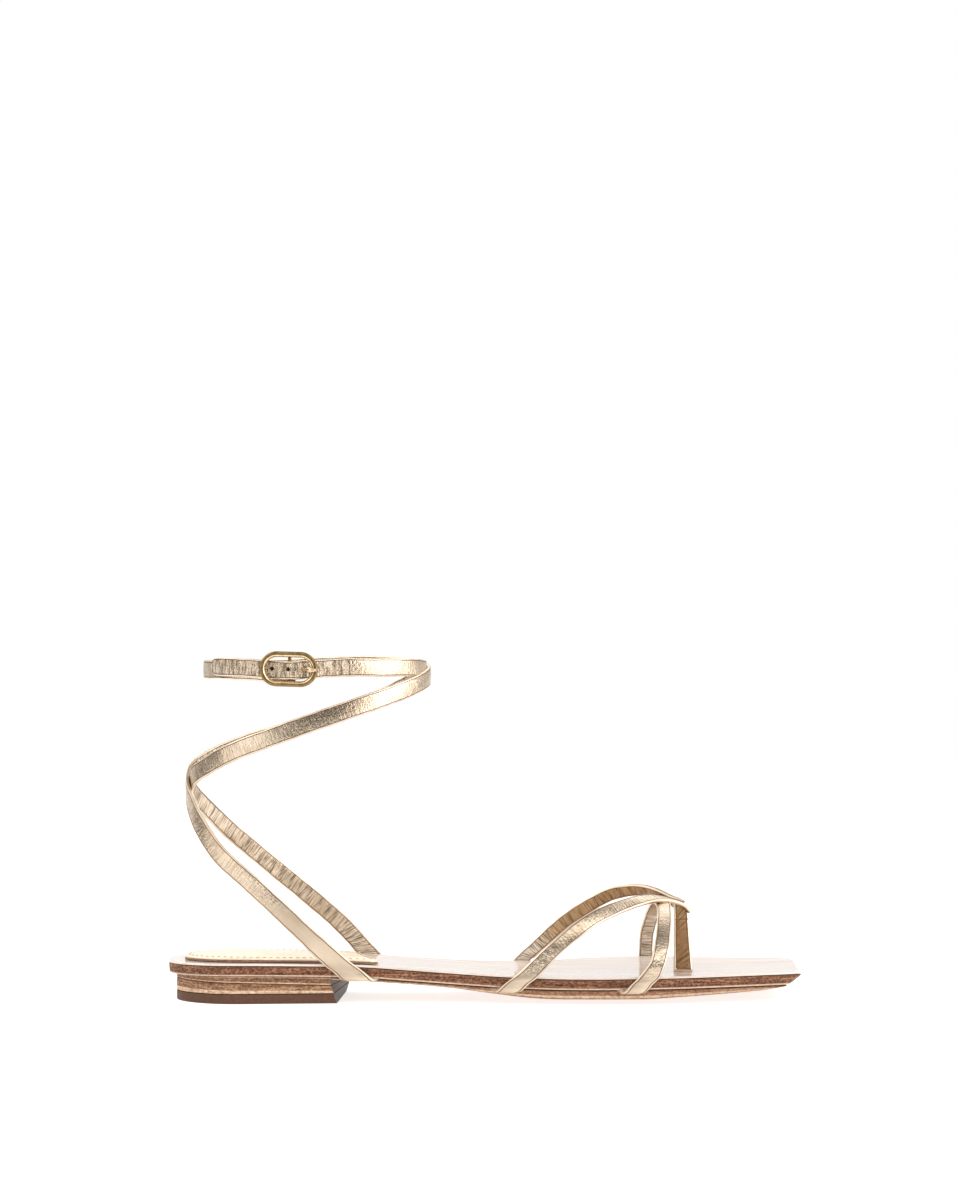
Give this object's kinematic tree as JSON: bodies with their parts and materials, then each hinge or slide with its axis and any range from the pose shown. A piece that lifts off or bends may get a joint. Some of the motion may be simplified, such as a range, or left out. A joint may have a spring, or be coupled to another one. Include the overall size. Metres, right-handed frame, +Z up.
{
  "type": "strappy thong sandal with crossed ankle straps",
  "caption": "Flat leather thong sandal for the right foot, with crossed forefoot straps, straps wound round the ankle and a buckle.",
  "frame": {"origin": "middle of the sandal's bounding box, on the ground", "axes": "+X to the toe, -Y to the outer side of the right foot, +Z up"},
  "size_m": [0.259, 0.0875, 0.1412],
  "materials": {
    "strap_leather": "metallic pale gold, crinkled fine grain",
    "insole_leather": "glossy pale champagne",
    "pad_leather": "soft cream gold, stitched round its edge",
    "board_leather": "waxed speckled brown edge",
    "outsole_leather": "waxed brown edge, natural underside",
    "lift_leather": "stacked leather, streaked",
    "toplift_rubber": "matt dark brown",
    "buckle_brass": "antique brass, satin"
  },
  "bodies": {
    "root": {"insole": "insole_leather", "heel_pad": "pad_leather", "midsole_board": "board_leather", "outsole": "outsole_leather", "heel_lift_upper": "lift_leather", "heel_lift_lower": "lift_leather", "heel_toplift": "toplift_rubber", "vamp_straps": "strap_leather", "ankle_straps": "strap_leather", "buckle_frame": "buckle_brass", "buckle_prong": "buckle_brass"}
  },
  "joints": []
}
